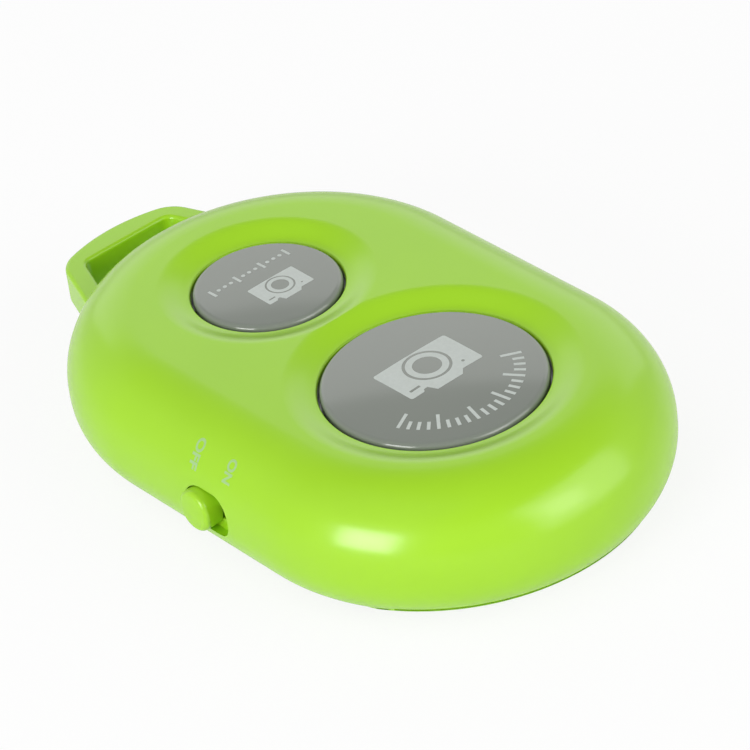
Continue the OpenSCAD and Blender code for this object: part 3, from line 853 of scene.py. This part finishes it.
# Words beside the switch, in mm, printed down the shoulder
words = {
    "OFF": {"x": 0.18, "start": 51.2, "end": 26.3},   # in degrees up the shoulder
    "ON": {"x": 3.53, "start": 49.3, "end": 29.9},
    "tall": 0.8,
    "thick": 0.015,         # how far the ink stands out, and how deep it starts
    "sunk": 0.06,
    "deep": 0.6,            # thickness of the letters that are cut out of the ink
    "drawn": 0.5,           # and half of it as they are first written
    "bold": 0.03,
    "steps": 28,
}


def letterSolid(text, long):
    # The word lying flat with its middle at the origin, in its printed size
    pickNone()
    bpy.ops.object.text_add(location=(0, 0, 0))
    letters = bpy.context.object
    letters.data.body = text
    letters.data.align_x = "CENTER"
    letters.data.align_y = "CENTER"
    letters.data.extrude = words["drawn"]
    letters.data.offset = words["bold"]
    bpy.ops.object.convert(target="MESH")
    letters = bpy.context.object
    bpy.ops.object.origin_set(type="ORIGIN_GEOMETRY", center="BOUNDS")
    letters.location = (0, 0, 0)
    size = letters.dimensions
    letters.scale = (long / size.x, words["tall"] / size.y, words["deep"] / size.z)
    settle(letters)
    return letters


def makeWord(text):
    word = words[text]
    r = shell["shoulder"]
    y, z = -shell["halfWidth"] + r, shell["height"] - r
    band = arc((y, z), r + words["thick"], 180, 90, words["steps"])
    band += arc((y, z), r - words["sunk"], 90, 180, words["steps"])
    near = word["x"] - words["tall"]
    skin = raised("word" + text, [(near, *p) for p in band], (2 * words["tall"], 0, 0))
    letters = letterSolid(text, r * math.radians(word["start"] - word["end"]))
    lean = math.radians((word["start"] + word["end"]) / 2)
    down = Vector((0, -math.sin(lean), -math.cos(lean)))
    out = Vector((0, -math.cos(lean), math.sin(lean)))
    turn = Matrix((down, Vector((1, 0, 0)), out)).transposed().to_4x4()
    letters.matrix_world = Matrix.Translation(Vector((word["x"], y, z)) + out * r) @ turn
    settle(letters)
    openUp(letters)
    closeUp(letters)
    joined(skin, letters, "INTERSECT")
    return placed(skin, "case", inkFaint)


for text in ("ON", "OFF"):
    makeWord(text)
print("words printed")


# Slide knob, in mm
knob = {
    "x": 1.1, "z": 4.6,
    "radius": 1.45,
    "stretch": 0.1,         # half of the straight part between the round ends
    "front": 16.7,
    "back": 15.2,
    "edge": 0.35,
    "edgeEnd": 84,          # the edge's rounding stops at this angle and meets the face
    "crown": 0.07,          # how far the middle of the face stands past its edge
    "neck": (1.45, 1.24),   # how long and how tall it is
    "plate": (13.55, 13.15),          # its outer and inner face
    "fork": (0.6, 1.1, 0.3, 12.75),   # a prong's near and far side, half height and end
    "bite": 0.1,            # how far joined solids reach into each other
    "soft": 0.05,
    "steps": 8,
    "endSteps": 48,
}


def makeKnob():
    r, edge, crown = knob["radius"], knob["edge"], knob["crown"]
    front, back, bite = knob["front"], knob["back"], knob["bite"]
    face = r - edge
    points = [(0, back), (r, back)]
    points += arc((face, front - crown - edge), edge, 0, knob["edgeEnd"], knob["steps"])
    for away in reversed(spread(0, face, knob["steps"])[:-1]):
        points.append((away, front - crown * (away / face) ** 2))
    piece = pillTurned("knob", points, knob["stretch"], knob["endSteps"])
    piece.rotation_euler = (math.radians(90), math.radians(90), 0)
    settle(piece)
    long, tall = knob["neck"]
    outer, inner = knob["plate"]
    near, far, half, end = knob["fork"]
    neck = box("neck", (-long / 2, -back - over, -tall / 2), (long / 2, -outer + bite, tall / 2))
    plate = box("plate", (-r, -outer, -tall), (r, -inner, tall))
    joined(piece, neck, "UNION")
    joined(piece, softened(plate, knob["soft"]), "UNION")
    for low in (near, -far):
        joined(piece, box("fork", (low, -inner - bite, -half), (low + far - near, -end, half)), "UNION")
    openUp(piece)
    bpy.ops.transform.translate(value=(knob["x"], 0, knob["z"]))
    bpy.ops.object.mode_set(mode="OBJECT")
    smoothed(piece)
    return placed(piece, "power_switch", knobGreen, ["switch_knob"])


makeKnob()
print("knob made")


# Base, door and screws: the frame's own shapes with their edges softened, in mm
under = {
    "soft": {"base": 0.08, "door": 0.1, "screws": 0.06},
    "softSteps": 2,
    "sharp": 30,            # edges sharper than this many degrees are softened
    "flat": 0.3,            # faces that differ by less than this many degrees become one
    "arrow": {"tip": 8.6, "back": 5.4, "half": 2.0, "corner": 0.3, "deep": 0.25},
}


def likeNode(name, node):
    mesh = nodes[node].data.copy()
    mesh.name = name
    piece = bpy.data.objects.new(name, mesh)
    bpy.context.scene.collection.objects.link(piece)
    piece.scale = (1 / metre, 1 / metre, 1 / metre)
    settle(piece)
    openUp(piece)
    bpy.ops.mesh.remove_doubles(threshold=weldGap)
    bpy.ops.mesh.dissolve_limited(angle_limit=math.radians(under["flat"]))
    closeUp(piece)
    return softened(piece, under["soft"][name], under["softSteps"], under["sharp"])


def makeBase():
    piece = smoothed(likeNode("base", "base_case"))
    return placed(piece, "case", baseGreen, ["base_case"])


def makeDoor():
    arrow = under["arrow"]
    piece = likeNode("door", "battery_door")
    corners = [(arrow["back"], -arrow["half"]), (arrow["back"], arrow["half"]), (arrow["tip"], 0)]
    outline = [(x, y, -over) for x, y in roundHull(corners, arrow["corner"])]
    joined(piece, raised("arrow", outline, (0, 0, over + arrow["deep"])))
    smoothed(piece)
    return placed(piece, "door", baseGreen, ["battery_door"])


def makeScrews():
    piece = smoothed(likeNode("screws", "case_screws"))
    return placed(piece, "case", screwSteel, ["case_screws"])


makeBase()
makeDoor()
makeScrews()
print("base, door and screws made")


# Finishes of the frame's own pieces
ownFinish = {
    "circuit_board": solderMask(),
    "coin_cell": metal("cellSteel"),
    "positive_contact": metal("contactPlate"),
    "tact_base_large": moulded("mouldedDark"),
    "tact_cover_large": metal("tinnedCover"),
    "tact_dome_large": metal("domeSteel"),
    "tact_plunger_large": moulded("mouldedBlack"),
    "radio_chip": moulded("chipBlack"),
    "status_led": moulded("ledWhite"),
    "capacitors": moulded("ceramicTan"),
    "antenna_trace": metal("traceGold"),
}
sameAs = {
    "negative_contact": "positive_contact",
    "tact_base_small": "tact_base_large",
    "tact_cover_small": "tact_cover_large",
    "tact_dome_small": "tact_dome_large",
    "tact_plunger_small": "tact_plunger_large",
    "slide_switch_base": "tact_base_large",
    "slide_switch_cover": "tact_cover_large",
    "slide_switch_slider": "tact_plunger_large",
    "memory_chip": "radio_chip",
    "crystal_can": "tact_cover_large",
    "resistors": "radio_chip",
}


def dressNode(name, material):
    mesh = nodes[name].data
    mesh.materials.clear()
    mesh.materials.append(material)


for name, material in ownFinish.items():
    dressNode(name, material)
for name, like in sameAs.items():
    dressNode(name, ownFinish[like])
print("frame dressed")


# Floor, lamps and the white room
studio = {
    "hair": 0.00001,         # the floor lies this far under the base
    "floorSize": 6,
    "floor": (0.9, 0.9, 0.9),
    "floorRough": 0.9,
    "fleck": 0.985,          # the floor's colour is darkened to this share in places
    "fleckScale": 40,
    "paper": 0.87,           # share of plain white in what is seen of the floor
    "shine": 0.3,            # and in what gloss shows of it
    "air": 0.33,             # light of the room on matt surfaces
    "mirrored": (0.78, 0.3),  # what gloss shows of the room at the horizon and overhead
    "fall": (0.47, 0.9),     # between these heights the mirrored room gets darker
    "white": (1, 1, 1, 1),
}

lamps = {
    "overhead": {"toward": (0.0, 62.0), "distance": 0.9, "size": (0.9, 0.7),
                 "power": 2.8, "mirrored": False},
    "keyBox": {"toward": (12.0, 18.5), "distance": 0.8, "size": (0.36, 0.38),
               "power": 3.7, "mirrored": True},
    "endBox": {"toward": (117.0, 23.0), "distance": 0.75, "size": (0.74, 0.62),
               "power": 2.6, "mirrored": True},
    "endCore": {"toward": (107.0, 23.0), "distance": 0.7, "size": (0.24, 0.28),
                "power": 0.45, "mirrored": True},
    "rearBox": {"toward": (-132.0, 22.5), "distance": 0.9, "size": (1.3, 0.5),
                "power": 1.5, "mirrored": True},
}


def paperFinish():
    finish = Finish("floorPaper")
    fleck = finish.noise(studio["fleckScale"], detail=3)
    colour = finish.between(fleck, shade(studio["floor"], studio["fleck"]), shade(studio["floor"]))
    finish.feed(Base_Color=colour, Roughness=studio["floorRough"])
    seen, mirrored, through = finish.rays()
    share = seen * studio["paper"] + (mirrored + through) * studio["shine"]
    lit = Wire(finish, finish.shader.outputs[0])
    white = finish.add("ShaderNodeEmission", {}, {"Color": studio["white"], "Strength": 1.0})
    both = finish.add("ShaderNodeMixShader", {}, {0: share, 1: lit, 2: white})
    finish.plug(finish.tree.nodes["Material Output"].inputs["Surface"], both)
    return finish.material


def makeRoom():
    world = bpy.data.worlds.new("room")
    bpy.context.scene.world = world
    room = Wiring(world)
    seen, mirrored, through = room.rays()
    where = room.add("ShaderNodeTexCoord", {}, {}, "Generated")
    height = room.add("ShaderNodeSeparateXYZ", {}, {"Vector": where}, "Z")
    fall = room.add("ShaderNodeMapRange", {"interpolation_type": "SMOOTHSTEP"}, {
        "Value": height, "From Min": studio["fall"][0], "From Max": studio["fall"][1],
        "To Min": studio["mirrored"][0], "To Max": studio["mirrored"][1]})
    shiny = room.add("ShaderNodeMath", {"operation": "MAXIMUM"}, {0: mirrored, 1: through})
    level = room.mixed(seen, room.mixed(shiny, studio["air"], fall), 1.0)
    back = room.tree.nodes["Background"]
    room.plug(back.inputs["Strength"], level)
    room.plug(back.inputs["Color"], studio["white"])


def hangLamp(name, lamp):
    light = bpy.data.lights.new(name, "AREA")
    light.shape = "RECTANGLE"
    light.size, light.size_y = lamp["size"]
    light.energy = lamp["power"]
    holder = bpy.data.objects.new(name, light)
    bpy.context.scene.collection.objects.link(holder)
    holder.visible_glossy = lamp["mirrored"]
    turn, lift = (math.radians(a) for a in lamp["toward"])
    toward = Vector((math.sin(turn) * math.cos(lift), -math.cos(turn) * math.cos(lift), math.sin(lift)))
    holder.location = toward * lamp["distance"]
    holder.rotation_euler = (-toward).to_track_quat("-Z", "Y").to_euler()


def makeStudio():
    pickNone()
    bpy.ops.mesh.primitive_plane_add(size=studio["floorSize"], location=(0, 0, -studio["hair"]))
    floor = bpy.context.object
    floor.name = "floor"
    floor.data.materials.append(paperFinish())
    makeRoom()
    for name, lamp in lamps.items():
        hangLamp(name, lamp)


makeStudio()
bpy.context.scene.view_settings.view_transform = "Standard"
print("studio lit")
